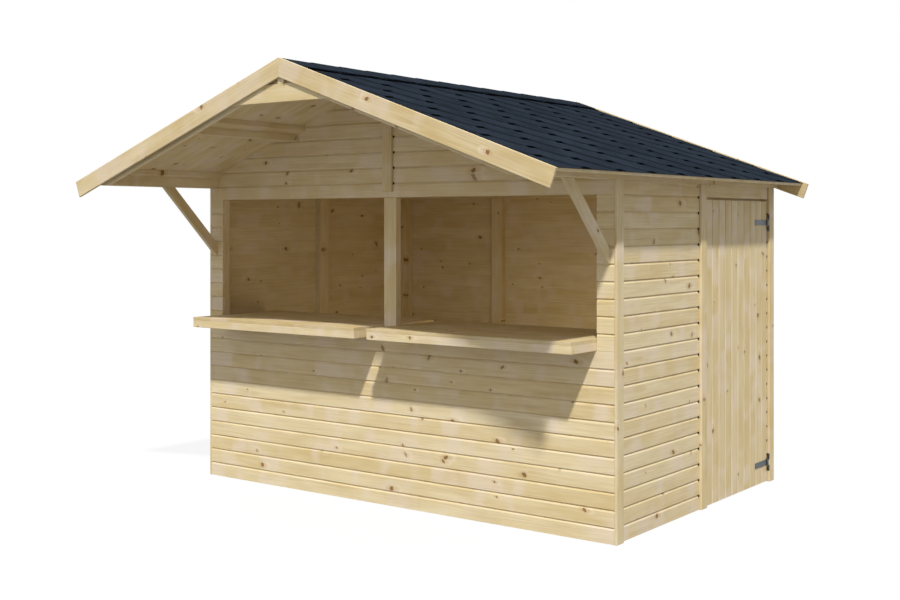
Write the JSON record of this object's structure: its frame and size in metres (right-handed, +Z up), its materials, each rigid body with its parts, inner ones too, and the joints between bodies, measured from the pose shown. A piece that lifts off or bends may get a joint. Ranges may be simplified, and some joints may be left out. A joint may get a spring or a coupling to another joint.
{
  "type": "wooden market stall",
  "caption": "Gabled timber market stall with a wide serving opening, counters, a deep braced front overhang, a shingled roof and a hinged side door.",
  "frame": {"origin": "on the ground, under the middle of the roof's outline", "axes": "+Z up; the serving front faces -Y; +X is to the right for someone facing the front, towards the door's wall"},
  "size_m": [3.3926, 3.006, 2.4952],
  "materials": {
    "bitumen_shingles": "matt mineral felt",
    "zinc_steel": "galvanised",
    "door_wood": "planed, untreated",
    "counter_wood": "planed, untreated",
    "roof_wood": "planed, untreated",
    "trim_wood": "planed, untreated",
    "framing_wood": "planed, untreated",
    "cladding_wood": "planed, untreated"
  },
  "bodies": {
    "stall": {"corner_trims": "trim_wood", "counter_bearers": "counter_wood", "counter_rails": "counter_wood", "counter_tops": "counter_wood", "door_head_panel": "cladding_wood", "door_stiles": "cladding_wood", "front_apron": "cladding_wood", "front_braces": "trim_wood", "front_gable_left": "cladding_wood", "front_gable_right": "cladding_wood", "front_rails": "framing_wood", "front_stiles": "cladding_wood", "front_studs": "framing_wood", "gable_strips": "trim_wood", "gable_ties": "roof_wood", "hinge_leaves": "zinc_steel", "inner_rakes": "roof_wood", "joint_strips": "trim_wood", "left_panel_front": "cladding_wood", "left_panel_rear": "cladding_wood", "purlins": "roof_wood", "rakes_left": "trim_wood", "rakes_right": "trim_wood", "rear_gable_left": "cladding_wood", "rear_gable_right": "cladding_wood", "rear_panel_centre": "cladding_wood", "rear_panel_left": "cladding_wood", "rear_panel_right": "cladding_wood", "rear_rails": "framing_wood", "rear_studs": "framing_wood", "ridge_beam": "roof_wood", "ridge_cap": "bitumen_shingles", "right_panel_front": "cladding_wood", "roof_battens": "roof_wood", "roof_boards_left": "roof_wood", "roof_boards_right": "roof_wood", "shingles_left": "bitumen_shingles", "shingles_right": "bitumen_shingles", "side_rails": "framing_wood", "side_studs": "framing_wood", "wall_plates": "roof_wood"},
    "door": {"door_leaf": "door_wood", "door_ledges": "door_wood", "door_diagonal": "door_wood", "hinge_straps": "zinc_steel"}
  },
  "joints": [
    {"name": "door_hinge", "type": "hinge", "parent": "stall", "child": "door", "pos_m": [1.49, 1.341, 0], "axis": [0, 0, 1], "range_deg": [0, 110]}
  ]
}
